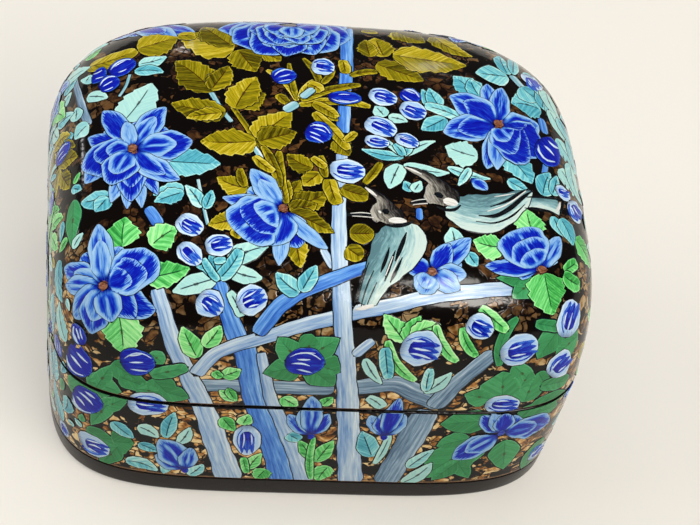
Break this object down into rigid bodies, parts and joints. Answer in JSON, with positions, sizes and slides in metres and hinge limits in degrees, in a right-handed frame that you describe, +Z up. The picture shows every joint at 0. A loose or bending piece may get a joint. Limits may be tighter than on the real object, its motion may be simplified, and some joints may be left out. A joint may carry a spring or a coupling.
{
  "type": "lidded box",
  "caption": "Oblong papier-mache box with soft corners, a domed lift-off lid on an inner collar, and a low black plinth, painted all over with flowers, birds and boughs.",
  "frame": {"origin": "middle of the underside, on the surface that the box stands on", "axes": "+X along the length, +Y from front to back, +Z up through the lid"},
  "size_m": [0.1282, 0.103, 0.076],
  "materials": {
    "painted_ground": "gold-flecked black ground under gloss varnish",
    "black_lacquer": "black lacquer, satin",
    "plinth_black": "black paint, satin, rubbed"
  },
  "bodies": {
    "base": {"base_wall": "painted_ground", "locating_collar": "black_lacquer", "floor_board": "black_lacquer", "foot_plinth": "plinth_black"},
    "lid": {"lid_shell": "painted_ground"}
  },
  "joints": [
    {"name": "lid_lift", "type": "slide", "parent": "base", "child": "lid", "axis": [0, 0, 1], "range_m": [0, 0.06]}
  ]
}
